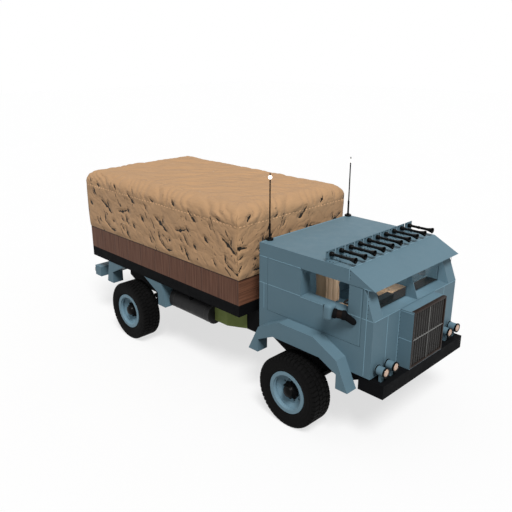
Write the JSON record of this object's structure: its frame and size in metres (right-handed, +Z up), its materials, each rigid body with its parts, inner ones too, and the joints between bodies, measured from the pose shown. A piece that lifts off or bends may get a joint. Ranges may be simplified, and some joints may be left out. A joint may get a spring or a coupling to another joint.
{
  "type": "military cargo truck",
  "caption": "Forward control cargo truck with opening doors, steered front wheels, a dropping tailgate and a canvas canopy on bows over a wooden bed.",
  "frame": {"origin": "on the ground under the middle of the truck", "axes": "+Z up, the truck faces -Y and its left side is on +X"},
  "size_m": [2.58, 6.132, 3.201],
  "materials": {
    "body_paint": "satin blue-grey paint",
    "rim_paint": "satin blue-grey paint",
    "chassis_black": "satin black paint",
    "engine_iron": "dark cast iron",
    "grille_dark": "dark painted slats",
    "black_metal": "gloss black paint",
    "clear_glass": "clear flat glass",
    "lamp_glass": "peach tinted glass",
    "amber_lens": "amber lens",
    "dash_plastic": "dark brown moulded plastic",
    "seat_cloth": "tan woven cover",
    "bed_wood": "dark brown oiled planks",
    "canvas": "tan canvas",
    "tank_grey": "dark grey paint",
    "box_green": "olive green paint",
    "tyre_rubber": "black rubber"
  },
  "bodies": {
    "chassis": {"chassis_frame": "chassis_black", "front_axle": "chassis_black", "rear_axle": "chassis_black", "suspension": "chassis_black", "engine_block": "engine_iron", "drive_line": "engine_iron", "front_bumper": "chassis_black", "cab_shell": "body_paint", "cab_roof": "body_paint", "windscreen": "clear_glass", "grille_box": "body_paint", "grille": "grille_dark", "headlamps": "body_paint", "headlamp_lenses": "lamp_glass", "fenders": "body_paint", "horn_rail": "body_paint", "air_horns": "black_metal", "antennas": "black_metal", "dashboard": "dash_plastic", "seats": "seat_cloth", "bed_frame": "chassis_black", "bed_boards": "bed_wood", "canopy": "canvas", "canopy_bows": "chassis_black", "fuel_tanks": "tank_grey", "stowage_boxes": "box_green", "battery_boxes": "chassis_black", "rear_beam": "body_paint", "tail_lamps": "amber_lens"},
    "door_left": {"door_left": "body_paint", "mirror_left": "body_paint"},
    "door_right": {"door_right": "body_paint", "mirror_right": "body_paint"},
    "tailgate": {"tailgate": "bed_wood"},
    "knuckle_left": {"knuckle_left": "chassis_black"},
    "knuckle_right": {"knuckle_right": "chassis_black"},
    "tie_rod": {"tie_rod": "chassis_black"},
    "wheel_front_left": {"rim_front_left": "rim_paint", "tyre_front_left": "tyre_rubber"},
    "wheel_front_right": {"rim_front_right": "rim_paint", "tyre_front_right": "tyre_rubber"},
    "wheel_rear_left": {"rim_rear_left": "rim_paint", "tyre_rear_left": "tyre_rubber"},
    "wheel_rear_right": {"rim_rear_right": "rim_paint", "tyre_rear_right": "tyre_rubber"}
  },
  "joints": [
    {"name": "steer_left", "type": "hinge", "parent": "chassis", "child": "knuckle_left", "pos_m": [0.93, -1.837, 0.491], "axis": [0, 0, 1], "range_deg": [-30, 30]},
    {"name": "steer_right", "type": "hinge", "parent": "chassis", "child": "knuckle_right", "pos_m": [-0.93, -1.837, 0.491], "axis": [0, 0, 1], "range_deg": [-30, 30]},
    {"name": "tie_rod_slide", "type": "slide", "parent": "chassis", "child": "tie_rod", "axis": [1, 0, 0], "range_m": [-0.101, 0.101]},
    {"name": "door_left_hinge", "type": "hinge", "parent": "chassis", "child": "door_left", "pos_m": [0.944, -2.685, 1.7], "axis": [0, 0, -1], "range_deg": [0, 70]},
    {"name": "door_right_hinge", "type": "hinge", "parent": "chassis", "child": "door_right", "pos_m": [-0.944, -2.685, 1.7], "axis": [0, 0, 1], "range_deg": [0, 70]},
    {"name": "tailgate_hinge", "type": "hinge", "parent": "chassis", "child": "tailgate", "pos_m": [0, 3.0493, 1.339], "axis": [-1, 0, 0], "range_deg": [0, 180]},
    {"name": "wheel_front_left_spin", "type": "hinge", "parent": "knuckle_left", "child": "wheel_front_left", "pos_m": [1.126, -1.837, 0.491], "axis": [1, 0, 0], "continuous": true},
    {"name": "wheel_front_right_spin", "type": "hinge", "parent": "knuckle_right", "child": "wheel_front_right", "pos_m": [-1.126, -1.837, 0.491], "axis": [1, 0, 0], "continuous": true},
    {"name": "wheel_rear_left_spin", "type": "hinge", "parent": "chassis", "child": "wheel_rear_left", "pos_m": [1.126, 1.785, 0.491], "axis": [1, 0, 0], "continuous": true},
    {"name": "wheel_rear_right_spin", "type": "hinge", "parent": "chassis", "child": "wheel_rear_right", "pos_m": [-1.126, 1.785, 0.491], "axis": [1, 0, 0], "continuous": true}
  ],
  "couplings": [
    {"joint": "steer_right", "follows": "steer_left", "ratio": 1},
    {"joint": "tie_rod_slide", "follows": "steer_left", "m_per_rad": -0.191}
  ]
}
